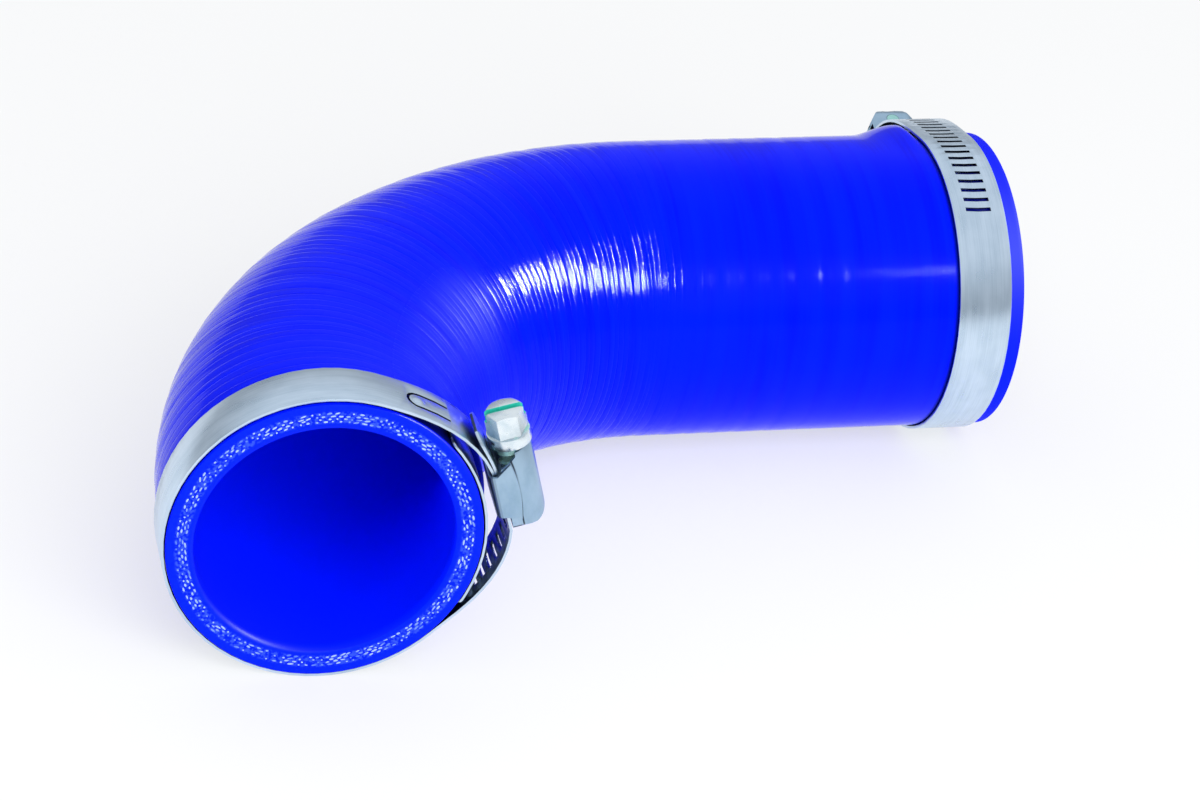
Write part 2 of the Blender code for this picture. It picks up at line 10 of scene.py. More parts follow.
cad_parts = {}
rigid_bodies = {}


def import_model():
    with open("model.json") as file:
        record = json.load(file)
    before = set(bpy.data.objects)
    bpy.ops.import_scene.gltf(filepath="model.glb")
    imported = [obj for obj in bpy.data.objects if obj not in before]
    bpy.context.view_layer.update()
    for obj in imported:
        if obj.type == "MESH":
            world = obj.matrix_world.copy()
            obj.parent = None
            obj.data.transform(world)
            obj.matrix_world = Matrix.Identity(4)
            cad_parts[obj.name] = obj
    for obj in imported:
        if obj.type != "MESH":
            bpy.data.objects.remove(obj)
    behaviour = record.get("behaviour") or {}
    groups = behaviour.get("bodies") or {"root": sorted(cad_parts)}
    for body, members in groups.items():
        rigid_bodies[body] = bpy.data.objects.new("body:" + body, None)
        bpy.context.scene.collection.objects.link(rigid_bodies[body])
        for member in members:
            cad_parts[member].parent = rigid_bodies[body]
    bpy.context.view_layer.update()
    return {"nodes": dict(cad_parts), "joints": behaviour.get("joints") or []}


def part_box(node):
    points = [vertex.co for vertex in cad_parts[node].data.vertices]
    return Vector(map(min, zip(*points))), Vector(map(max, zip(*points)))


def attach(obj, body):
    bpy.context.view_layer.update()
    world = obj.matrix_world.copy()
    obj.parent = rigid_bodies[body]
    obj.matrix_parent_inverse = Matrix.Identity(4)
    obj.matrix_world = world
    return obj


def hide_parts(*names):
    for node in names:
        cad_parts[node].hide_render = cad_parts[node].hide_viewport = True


MM = 0.001

# Elbow, as moulded
BORE = 57.0 * MM
WALL = 6.0 * MM
BEND_RADIUS = 98.0 * MM
BEND_ANGLE = radians(84.0)
NEAR_STRAIGHT = 13.0 * MM
FAR_STRAIGHT = 85.0 * MM
HOSE_RADIUS = BORE / 2 + WALL
BEND_LENGTH = BEND_RADIUS * BEND_ANGLE
HOSE_LENGTH = NEAR_STRAIGHT + BEND_LENGTH + FAR_STRAIGHT

# Elbow, as a mesh
SIDES = 200
OUTER_STEP = 0.78 * MM
INNER_STEP = 3.2 * MM
FACE_STEPS = 6
LIP = 0.35 * MM
LIP_STEPS = 4
THREAD_ROOM = 0.05 * MM

# Marks that the wrapping tape leaves in the silicone
TAPE_PITCH = 6.6 * MM
TAPE_STEP = 0.085 * MM
TAPE_DRIFT = 1.6 * MM
MARKS_FADE = 46.0 * MM
MARKS_END = 38.0 * MM
CREASE_DEPTH = 0.05 * MM
CREASE_SPACING = 4.2 * MM
BEND_CREASE_DEPTH = 0.10 * MM
BEND_CREASE_SPACING = 2.3 * MM
RIDGE_PITCH = 2.2 * MM
RIDGE_HEIGHT = 0.055 * MM

# Cut fabric plies on the end faces
PLIES = 4
INNER_PLY = 30.1 * MM
PLY_PITCH = 0.68 * MM
THREADS_PER_PLY = 112
THREAD_LENGTH = 0.56 * MM
THREAD_WIDTH = 0.23 * MM
THREAD_HEIGHT = 0.07 * MM

# Clamps
BAND_WIDTH = 12.7 * MM
NEAR_INSET = 0.6 * MM
FAR_INSET = 3.6 * MM
BAND_TOP = 6.0 * MM
TAIL_START = 7.0 * MM
SWELL_HEIGHT = 2.3 * MM
SWELL_LENGTH = 13.0 * MM
SWELL_RISE = 2.0 * MM
SWELL_SHIFT = radians(14)
SWELL_FULL = radians(26)
SWELL_END = radians(60)
SADDLE_HEAD_REACH = 8.2 * MM
SADDLE_TIP_REACH = 6.3 * MM
SADDLE_TOP = HOSE_RADIUS + 7.8 * MM
SADDLE_CROWN = 0.8 * MM
SEAM = 0.42 * MM
BAND_EDGE = 0.09 * MM
PRESSING_EDGE = 0.12 * MM
SCREW_EDGE = 0.16 * MM
SAME_PLACE = 0.002 * MM
FLAT_ANGLE = radians(0.8)
EASED_ANGLE = radians(34)
SHARP_ANGLE = radians(32)

# Screw, from its slotted top
DRIVER_SLOT = 1.3 * MM
DRIVER_SLOT_DEPTH = 2.2 * MM
HEX_HEIGHT = 5.6 * MM
NECK_DEPTH = 8.2 * MM

# Camera, where the photograph's stood
CAMERA_PLACE = Vector((-0.38856, -1.05568, 0.68864))
CAMERA_TURN = Euler((1.03227, -0.13059, -0.28384))
CAMERA_LENS = 170.798
SENSOR_WIDTH = 36.0

# Gloss shared by more than one material, and colours of painted shade
SILICONE_GLOSS = 0.05
SILICONE_GLOSS_TINT = (0.38, 0.45, 1.0, 1.0)
# Painted shade on the silicone under the bands and just past the near band's edge
UNDER_BAND_PAINTED_SHADE = (0.0, 0.002, 0.06, 1.0)
# Painted shade on the bands' slot walls and on their faces turned towards the hose
SLOT_SHADE = (0.015, 0.035, 0.06, 1.0)
# Painted shade in the housing's seam over the saddle and on faces turned towards the hose
PRESSING_PAINTED_SHADE = (0.012, 0.02, 0.035, 1.0)

# Light
HORIZON_LEVEL = 0.42
ZENITH_LEVEL = 0.85
LAMP_DISTANCE = 1.15
KEY_LEVEL = 4.6
KEY_AZIMUTH = radians(179)
KEY_HEIGHT = radians(33)
KEY_SIZE = (1.0, 0.8)
GLINT_LEVEL = 370.0
GLINT_AZIMUTH = radians(118)
GLINT_HEIGHT = radians(37)
GLINT_SIZE = (1.04, 0.22)
GLINT_ROLL = radians(8)
FLOOR_REACH = 4.0
FLOOR_WHITENING = 0.6


# Node trees


class Formula:
    """A number inside a node tree, so that a rule can be written as plain arithmetic."""

    def __init__(self, tree, socket):
        self.tree = tree
        self.socket = socket

    def calc(self, operation, *others):
        made = self.tree.nodes.new("ShaderNodeMath")
        made.operation = operation
        for slot, value in zip(made.inputs, (self, *others)):
            feed(self.tree, slot, value)
        return Formula(self.tree, made.outputs[0])

    def __add__(self, other):
        return self.calc("ADD", other)

    def __sub__(self, other):
        return self.calc("SUBTRACT", other)

    def __rsub__(self, other):
        return (self * -1.0).calc("ADD", other)

    def __mul__(self, other):
        return self.calc("MULTIPLY", other)

    def __truediv__(self, other):
        return self.calc("DIVIDE", other)

    def clamped(self, low, high):
        return self.calc("MAXIMUM", low).calc("MINIMUM", high)

    def eased(self, low, high):
        """0 below low, 1 above high, and a smooth rise between them."""
        made = self.tree.nodes.new("ShaderNodeMapRange")
        made.interpolation_type = "SMOOTHSTEP"
        feed(self.tree, made.inputs["Value"], self)
        feed(self.tree, made.inputs["From Min"], low)
        feed(self.tree, made.inputs["From Max"], high)
        return Formula(self.tree, made.outputs["Result"])


def feed(tree, slot, value):
    """Sets an input to a value, or joins it to the socket or the formula that feeds it."""
    if isinstance(value, Formula):
        value = value.socket
    if isinstance(value, bpy.types.NodeSocket):
        tree.links.new(value, slot)
    else:
        slot.default_value = value


def add(tree, kind, inputs=None, **settings):
    """One node with its settings and its inputs, each named or numbered."""
    made = tree.nodes.new(kind)
    for name, value in settings.items():
        setattr(made, name, value)
    for name, value in (inputs or {}).items():
        feed(tree, made.inputs[name], value)
    return made


def triple(tree, x, y, z):
    """A vector from three numbers or formulas."""
    return add(tree, "ShaderNodeCombineXYZ", {"X": x, "Y": y, "Z": z}).outputs[0]


def axes_of(tree, vector):
    """The three numbers of a vector."""
    split = add(tree, "ShaderNodeSeparateXYZ", {"Vector": vector})
    return [Formula(tree, split.outputs[axis]) for axis in "XYZ"]


def noise(tree, vector, scale=1.0, detail=2.0, roughness=0.5):
    """Smooth noise between about 0 and 1."""
    inputs = {"Vector": vector, "Scale": scale, "Detail": detail, "Roughness": roughness}
    return Formula(tree, add(tree, "ShaderNodeTexNoise", inputs).outputs[0])


def geometry_tree(name, sizes):
    """A new Geometry Nodes tree with named sizes. It returns the tree and its inputs by name."""
    tree = bpy.data.node_groups.new(name, "GeometryNodeTree")
    tree.interface.new_socket("Geometry", in_out="INPUT", socket_type="NodeSocketGeometry")
    for label, value in sizes.items():
        kind = "NodeSocketInt" if isinstance(value, int) else "NodeSocketFloat"
        made = tree.interface.new_socket(label, in_out="INPUT", socket_type=kind)
        made.default_value = value
    tree.interface.new_socket("Geometry", in_out="OUTPUT", socket_type="NodeSocketGeometry")
    inlet = tree.nodes.new("NodeGroupInput")
    inputs = {"Geometry": inlet.outputs["Geometry"]}
    for label in sizes:
        inputs[label] = Formula(tree, inlet.outputs[label])
    return tree, inputs


def close_tree(tree, geometry, look, place):
    """Ends a tree: copies made real, moved to their place, and given their material."""
    turn = place.to_euler()
    real = add(tree, "GeometryNodeRealizeInstances", {"Geometry": geometry}).outputs[0]
    at = {"Geometry": real, "Translation": place.to_translation(), "Rotation": turn}
    moved = add(tree, "GeometryNodeTransform", at).outputs[0]
    dressed = add(tree, "GeometryNodeSetMaterial", {"Geometry": moved, "Material": look}).outputs[0]
    tree.links.new(dressed, tree.nodes.new("NodeGroupOutput").inputs[0])


def grown(name, tree, sizes, base):
    """Runs a tree on a base object and keeps the result as a plain mesh object."""
    step = base.modifiers.new(name, "NODES")
    step.node_group = tree
    for item in tree.interface.items_tree:
        if item.in_out == "INPUT" and item.name in sizes:
            step[item.identifier] = sizes[item.name]
    bpy.context.view_layer.update()
    graph = bpy.context.evaluated_depsgraph_get()
    mesh = bpy.data.meshes.new_from_object(base.evaluated_get(graph), depsgraph=graph)
    bpy.data.objects.remove(base, do_unlink=True)
    mesh.name = name
    return shown(name, mesh)


def shown(name, data):
    obj = bpy.data.objects.new(name, data)
    bpy.context.scene.collection.objects.link(obj)
    return obj


def line_object(name, outline, closed):
    """A poly curve through these places, as the base that a tree works on."""
    curve = bpy.data.curves.new(name, "CURVE")
    curve.dimensions = "3D"
    spline = curve.splines.new("POLY")
    spline.points.add(len(outline) - 1)
    spline.use_cyclic_u = closed
    for point, (x, y) in zip(spline.points, outline):
        point.co = (x, y, 0, 1)
    return shown(name, curve)


# Places, all read from the solids' boxes and joints


def hose_place():
    """Where the elbow's own frame lies: the bend starts at its origin, its near leg along +Y."""
    low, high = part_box("hose_elbow")
    middle = (low.z + high.z) / 2
    far_end = Vector((high.x, high.y - HOSE_RADIUS, middle))
    turn = Matrix.Rotation(BEND_ANGLE - pi / 2, 4, "Z")
    return Matrix.Translation(far_end - turn @ along_hose(HOSE_LENGTH)[0]) @ turn


def along_hose(distance):
    """The hose's axis at a distance from the near end, and its direction there, in the elbow's own frame."""
    straight = min(distance, NEAR_STRAIGHT) - NEAR_STRAIGHT
    turn = min(max(distance - NEAR_STRAIGHT, 0), BEND_LENGTH) / BEND_RADIUS
    beyond = max(distance - NEAR_STRAIGHT - BEND_LENGTH, 0)
    direction = Vector((sin(turn), cos(turn), 0))
    bend = Vector((BEND_RADIUS * (1 - cos(turn)), BEND_RADIUS * sin(turn) + straight, 0))
    return bend + beyond * direction, direction


def end_frame(place, distance, outwards):
    """A frame on a cut face, whose Z points out of the hose."""
    centre, direction = along_hose(distance)
    normal = place.to_3x3() @ (direction * outwards)
    sideways = Vector((0, 0, 1)).cross(normal)
    turn = Matrix((sideways, normal.cross(sideways), normal)).transposed().to_4x4()
    return Matrix.Translation(place @ centre) @ turn


def clamp_frame(place, joint, distance):
    """A clamp's frame: X out through its housing, Y along its screw and Z along the hose."""
    centre, direction = along_hose(distance)
    centre = place @ centre
    along = place.to_3x3() @ direction
    screw = Vector(joint["pos_m"])
    origin = centre + along * (screw - centre).dot(along)
    axis = Vector(joint["axis"])
    turn = Matrix((axis.cross(along), axis, along)).transposed().to_4x4()
    return Matrix.Translation(origin) @ turn


def housing_turn(place, clamp, distance):
    """The angle round the hose at which a clamp's housing stands, as the elbow's own section counts it."""
    direction = along_hose(distance)[1]
    inwards = place.to_3x3() @ Vector((direction.y, -direction.x, 0))
    out = clamp.to_3x3().col[0]
    return atan2(out.z, out.dot(inwards))


# Materials


def principled(name, **values):
    """A Principled material with its plain values set, and its tree."""
    look = bpy.data.materials.new(name)
    look.use_nodes = True
    tree = look.node_tree
    shader = tree.nodes["Principled BSDF"]
    for label, value in values.items():
        shader.inputs[label.replace("_", " ")].default_value = value
    return look, tree, shader


def object_place(tree):
    return add(tree, "ShaderNodeTexCoord").outputs["Object"]


def blend_colours(tree, share, first, second):
    made = tree.nodes.new("ShaderNodeMix")
    made.data_type = "RGBA"
    feed(tree, made.inputs[0], share)
    feed(tree, made.inputs[6], first)
    feed(tree, made.inputs[7], second)
    return made.outputs[2]


def relief(tree, shader, height, distance, strength=1.0):
    """Fine relief, as a bump of this real height."""
    inputs = {"Height": height, "Distance": distance, "Strength": strength}
    bump = add(tree, "ShaderNodeBump", inputs)
    tree.links.new(bump.outputs[0], shader.inputs["Normal"])


def silicone(name):
    """A silicone's material, with the soft blue gloss that the skin and the cut faces share."""
    return principled(name, Specular_IOR_Level=SILICONE_GLOSS, Specular_Tint=SILICONE_GLOSS_TINT)


def blue_silicone(bend_centre):
    """The moulded skin: deep blue under gloss, ridged by the wrapping tape outside and satin in the bore, with
    painted shade under the bands.
    """
    look, tree, shader = silicone("blue_silicone")
    along = Formula(tree, add(tree, "ShaderNodeAttribute", attribute_name="along").outputs["Fac"])
    reach = Formula(tree, add(tree, "ShaderNodeAttribute", attribute_name="reach").outputs["Fac"])
    outside = reach.eased(BORE / 2 + WALL * 0.4, BORE / 2 + WALL * 0.6)
    place = object_place(tree)
    x, y, z = axes_of(tree, place)
    lines = noise(tree, triple(tree, along * 1500, z * 26, x * 14), detail=3.0)
    broad = noise(tree, triple(tree, along * 240, z * 9, y * 9))
    cloud = noise(tree, place, scale=28.0, detail=3.0)
    wander = noise(tree, triple(tree, along * 150, z * 10, y * 10), detail=1.0)
    phase = (along / RIDGE_PITCH + wander * 2.2).calc("FRACT")
    groove = (phase * 2.0 - 1.0).calc("ABSOLUTE").calc("POWER", 6.0)
    past_bend = along.eased(HOSE_LENGTH - FAR_STRAIGHT * 1.3, HOSE_LENGTH - FAR_STRAIGHT * 0.8)
    on_bend = along.eased(0.0, NEAR_STRAIGHT) - past_bend

    deep = (0.0, 0.003, 0.78, 1.0)
    bright = (0.0, 0.010, 0.97, 1.0)
    uneven = (lines * 0.35 + broad * 0.5 - 0.55) * outside + cloud * 0.35 + 0.57
    tone = blend_colours(tree, uneven.eased(0.36, 0.72), deep, bright)
    far_end = HOSE_LENGTH - FAR_INSET
    far_start = far_end - BAND_WIDTH
    past_near_band = along.eased(NEAR_INSET + BAND_WIDTH, SWELL_LENGTH * 1.15)
    near_band = along.eased(NEAR_INSET, NEAR_INSET * 2) - past_near_band
    past_far_band = along.eased(far_end - FAR_INSET * 0.1, far_end)
    far_band = along.eased(far_start - NEAR_INSET * 2, far_start) - past_far_band
    # Painted shade: the skin is darkened under both bands and on the swell's foot just past the near band
    painted_band_shade = (near_band + far_band) * outside
    feed(tree, shader.inputs["Base Color"], blend_colours(tree, painted_band_shade * 0.9, tone, UNDER_BAND_PAINTED_SHADE))

    aside = (x - bend_centre.x).calc("POWER", 2.0)
    ahead = (y - bend_centre.y).calc("POWER", 2.0)
    from_centre = (aside + ahead).calc("SQRT")
    inner_bend = from_centre.eased(BEND_RADIUS - HOSE_RADIUS * 0.2, BEND_RADIUS - HOSE_RADIUS * 0.55)
    near_half = along.eased(HOSE_LENGTH * 0.40, HOSE_LENGTH * 0.30)
    dull = inner_bend * near_half + along.eased(far_start, far_end) * 1.7
    satin = cloud * 0.05 + lines * 0.03 + 0.36
    feed(tree, shader.inputs["Roughness"], satin - outside * 0.30 + dull * 0.28)
    height = (lines * 0.02 + broad * 0.02) * MM - groove * (on_bend * 0.96 + 0.04) * RIDGE_HEIGHT
    relief(tree, shader, height * outside, 1.0)
    return look


def cut_silicone():
    """The knife-cut end faces: the same blue, duller, and uneven between the fabric's plies."""
    look, tree, shader = silicone("cut_silicone")
    place = object_place(tree)
    reach = Formula(tree, add(tree, "ShaderNodeAttribute", attribute_name="reach").outputs["Fac"])
    grain = noise(tree, place, scale=1400.0, detail=3.0)
    outer_ply = INNER_PLY + PLIES * PLY_PITCH
    fabric = reach.eased(INNER_PLY - PLY_PITCH, INNER_PLY) - reach.eased(outer_ply - PLY_PITCH, outer_ply)
    plain = blend_colours(tree, grain, (0.0, 0.009, 0.86, 1.0), (0.001, 0.02, 0.97, 1.0))
    woven = blend_colours(tree, grain.eased(0.42, 0.62), (0.0, 0.014, 0.80, 1.0), (0.05, 0.12, 0.90, 1.0))
    feed(tree, shader.inputs["Base Color"], blend_colours(tree, fabric * 0.55, plain, woven))
    feed(tree, shader.inputs["Roughness"], grain * 0.15 + 0.38)
    relief(tree, shader, grain, 0.04 * MM)
    return look


def ply_thread():
    """The cut ends of the fabric's threads, pale blue-white and fuzzy."""
    look, tree, shader = principled("ply_thread", Specular_IOR_Level=0.3)
    place = object_place(tree)
    fuzz = noise(tree, place, scale=3800.0)
    patch = noise(tree, place, scale=230.0, detail=1.0)
    pale = blend_colours(tree, fuzz, (0.20, 0.32, 0.95, 1.0), (0.46, 0.58, 1.0, 1.0))
    worn = blend_colours(tree, patch.eased(0.40, 0.66), pale, (0.08, 0.17, 0.93, 1.0))
    feed(tree, shader.inputs["Base Color"], worn)
    feed(tree, shader.inputs["Roughness"], fuzz * 0.2 + 0.6)
    relief(tree, shader, fuzz, 0.03 * MM)
    return look


def in_clamp(tree, clamp):
    """Object coordinates in a clamp's frame: out through its housing, along its screw and along the hose."""
    inputs = {
        "Vector": object_place(tree),
        "Location": clamp.to_translation(),
        "Rotation": clamp.to_euler(),
    }
    return axes_of(tree, add(tree, "ShaderNodeMapping", inputs, vector_type="TEXTURE").outputs[0])


def normal_along(tree, clamp, axis):
    """How far the surface faces along one axis of a clamp's frame, from -1 to 1."""
    normal = add(tree, "ShaderNodeNewGeometry").outputs["True Normal"]
    inputs = {0: normal, 1: clamp.to_3x3().col[axis]}
    return Formula(tree, add(tree, "ShaderNodeVectorMath", inputs, operation="DOT_PRODUCT").outputs["Value"])


def brushed_band(name, clamp):
    """Rolled stainless strip, its streaks running round the hose, with painted shade on its slot walls and
    inner face.
    """
    look, tree, shader = principled(name, Metallic=1.0)
    x, y, z = in_clamp(tree, clamp)
    fine = noise(tree, triple(tree, x * 45, y * 45, z * 5200))
    wide = noise(tree, triple(tree, x * 70, y * 70, z * 420))
    smear = noise(tree, triple(tree, x * 160, y * 160, z * 160), detail=3.0)
    dull = (0.48, 0.61, 0.75, 1.0)
    clear = (0.69, 0.82, 0.97, 1.0)
    tone = blend_colours(tree, (fine * 0.35 + wide * 0.45 + smear * 0.3).eased(0.28, 0.80), dull, clear)
    # Painted shade: slot walls near the hose and faces turned towards the hose are darkened towards SLOT_SHADE
    off_axis = (x * x + y * y).calc("SQRT")
    facing = (normal_along(tree, clamp, 0) * x + normal_along(tree, clamp, 1) * y) / off_axis
    slot_walls = 1.0 - facing.calc("ABSOLUTE").eased(0.4, 0.7)
    within_slots = z.calc("ABSOLUTE").calc("LESS_THAN", BAND_WIDTH * 0.28)
    round_hose = off_axis.eased(HOSE_RADIUS + TAIL_START, HOSE_RADIUS + BAND_TOP)
    in_slots = slot_walls * within_slots * round_hose
    shaded = (in_slots * 0.95 + facing.eased(-0.3, -0.6) * 0.8).clamped(0.0, 1.0)
    feed(tree, shader.inputs["Base Color"], blend_colours(tree, shaded, tone, SLOT_SHADE))
    feed(tree, shader.inputs["Roughness"], wide * 0.10 + smear * 0.08 + 0.20)
    relief(tree, shader, fine * 0.7 + wide * 0.3, 0.005 * MM)
    return look


def scuffed_pressing(name, clamp):
    """Pressed stainless sheet: satin, lightly scuffed, with painted shade in the seam above the saddle's side
    and on faces turned towards the hose.
    """
    look, tree, shader = principled(name, Metallic=1.0)
    x, y, z = in_clamp(tree, clamp)
    cloud = noise(tree, triple(tree, x * 150, y * 90, z * 150), detail=4.0, roughness=0.6)
    grain = noise(tree, triple(tree, x * 2600, y * 700, z * 2600))
    ding = noise(tree, triple(tree, x * 560, y * 560, z * 560), detail=1.0)
    tone = blend_colours(tree, cloud.eased(0.30, 0.70), (0.29, 0.44, 0.59, 1.0), (0.40, 0.56, 0.72, 1.0))
    # Painted shade: a dark line just above the saddle wall's crowned top, and on faces turned towards the hose
    share = ((y + SADDLE_HEAD_REACH) / (SADDLE_HEAD_REACH + SADDLE_TIP_REACH)).clamped(0.0, 1.0)
    above = x - (share * pi).calc("SINE") * SADDLE_CROWN - SADDLE_TOP
    seam = above.eased(SEAM * -0.15, SEAM * 0.1) - above.eased(SEAM * 0.6, SEAM * 1.1)
    seam = seam * z.calc("ABSOLUTE").eased(BAND_WIDTH * 0.44, BAND_WIDTH * 0.48)
    hollow = (normal_along(tree, clamp, 0) * -1.0).eased(0.3, 0.7)
    painted_seam_shade = (seam * 0.92 + hollow * 0.75).clamped(0.0, 1.0)
    feed(tree, shader.inputs["Base Color"], blend_colours(tree, painted_seam_shade, tone, PRESSING_PAINTED_SHADE))
    feed(tree, shader.inputs["Roughness"], cloud * 0.14 + 0.24)
    relief(tree, shader, grain * 0.2 - ding.eased(0.66, 0.74) * 0.8, 0.012 * MM)
    return look


def plated_steel(name, clamp, top):
    """Bright plated screw, with green passivation in the driver's slot, round the collar and on the neck."""
    look, tree, shader = principled(name)
    x, y, z = in_clamp(tree, clamp)
    grain = noise(tree, triple(tree, x * 1500, y * 400, z * 1500), detail=3.0)
    cloud = noise(tree, triple(tree, x * 260, y * 260, z * 260))
    plain = blend_colours(tree, cloud.eased(0.32, 0.68), (0.66, 0.77, 0.84, 1.0), (0.86, 0.93, 0.97, 1.0))
    green = blend_colours(tree, grain, (0.01, 0.42, 0.32, 1.0), (0.05, 0.66, 0.52, 1.0))
    spread = z.calc("ABSOLUTE") + grain * 0.2 * MM
    in_slot = spread.eased(DRIVER_SLOT / 2 + 0.42 * MM, DRIVER_SLOT / 2 + 0.25 * MM)
    near_top = y.calc("LESS_THAN", top + DRIVER_SLOT_DEPTH + 0.05 * MM)
    collar = top + HEX_HEIGHT
    rim = y.eased(collar - 0.9 * MM, collar) - y.eased(collar, collar + 0.3 * MM)
    rim = rim * cloud.eased(0.44, 0.60)
    neck = y.eased(top + NECK_DEPTH, top + NECK_DEPTH + 0.4 * MM)
    tint = (in_slot * near_top + rim * 0.55 + neck * 0.5).clamped(0.0, 1.0)
    feed(tree, shader.inputs["Base Color"], blend_colours(tree, tint, plain, green))
    feed(tree, shader.inputs["Metallic"], tint * -0.7 + 1.0)
    feed(tree, shader.inputs["Roughness"], cloud * 0.10 + 0.22)
    relief(tree, shader, grain, 0.008 * MM)
    return look


# Elbow


def wall_section():
    """The wall cut lengthwise, as (distance along, distance from the axis), its cut ends' edges eased."""
    near = THREAD_ROOM
    far = HOSE_LENGTH - THREAD_ROOM
    inner = BORE / 2
    outer = HOSE_RADIUS
    span = far - near - 2 * LIP
    outer_steps = int(ceil(span / OUTER_STEP))
    inner_steps = int(ceil(span / INNER_STEP))
    turns = [pi / 2 * i / LIP_STEPS for i in range(1, LIP_STEPS + 1)]
    lip = [(LIP * (1 - sin(turn)), outer - LIP * (1 - cos(turn))) for turn in turns]
    outline = [(near + along, radius) for along, radius in reversed(lip)]
    outline += [(near + LIP + span * i / outer_steps, outer) for i in range(outer_steps + 1)]
    outline += [(far - along, radius) for along, radius in lip]
    drop = outer - LIP - inner
    outline += [(far, outer - LIP - drop * i / FACE_STEPS) for i in range(1, FACE_STEPS)]
    outline += [(far + (near - far) * i / inner_steps, inner) for i in range(inner_steps + 1)]
    outline += [(near, inner + drop * i / FACE_STEPS) for i in range(1, FACE_STEPS)]
    return outline


def skin_relief(tree, along, turn, reach, inputs):
    """How far the skin lies under the full radius: tape steps and wide creases, which end short of the far
    band, and close creases round the bend. Behind each housing, where no band holds it, the skin swells out."""
    angle = turn * (2 * pi)
    across, upward = angle.calc("COSINE"), angle.calc("SINE")
    drifted = along + upward * inputs["Tape drift"] + across * inputs["Tape drift"] * 0.6
    bend_end = NEAR_STRAIGHT + BEND_LENGTH
    bent = along.eased(NEAR_STRAIGHT - 8 * MM, NEAR_STRAIGHT + 14 * MM)
    bent = bent - along.eased(bend_end - 18 * MM, bend_end + 16 * MM)
    patch = triple(tree, along * 30, across * 0.8, upward * 0.8)
    uneven = noise(tree, patch, detail=1.0)
    tape = (drifted / inputs["Tape pitch"] + uneven * 1.1).calc("FRACT")
    marked = along.eased(HOSE_LENGTH - MARKS_END, HOSE_LENGTH - MARKS_FADE)
    step = tape.calc("POWER", 3.0) * inputs["Tape step"] * marked
    wide = noise(tree, triple(tree, drifted / inputs["Crease spacing"], across * 0.45, upward * 0.45))
    close = noise(tree, triple(tree, drifted / inputs["Bend spacing"], across * 0.5, upward * 0.5))
    outer_side = across.eased(0.9, -0.9) * 0.7 + 0.3
    creases = wide.eased(0.62, 0.30) * inputs["Crease depth"] * marked
    bend_creases = close.eased(0.68, 0.26) * inputs["Bend depth"] * bent * outer_side
    swells = []
    for label, edge, away in (
        ("Near housing turn", NEAR_INSET + BAND_WIDTH, 1),
        ("Far housing turn", HOSE_LENGTH - FAR_INSET - BAND_WIDTH, -1),
    ):
        past = (along - edge) * away
        hump = past.eased(0.0, SWELL_RISE) * past.eased(SWELL_LENGTH, SWELL_RISE * 1.1)
        under = (angle - inputs[label] + SWELL_SHIFT).calc("COSINE").eased(cos(SWELL_END), cos(SWELL_FULL))
        swells.append(hump * under)
    swell = swells[0] + swells[1]
    skin = reach.eased(HOSE_RADIUS - LIP, HOSE_RADIUS - LIP / 2)
    return (step + creases + bend_creases - swell * inputs["Swell height"]) * skin


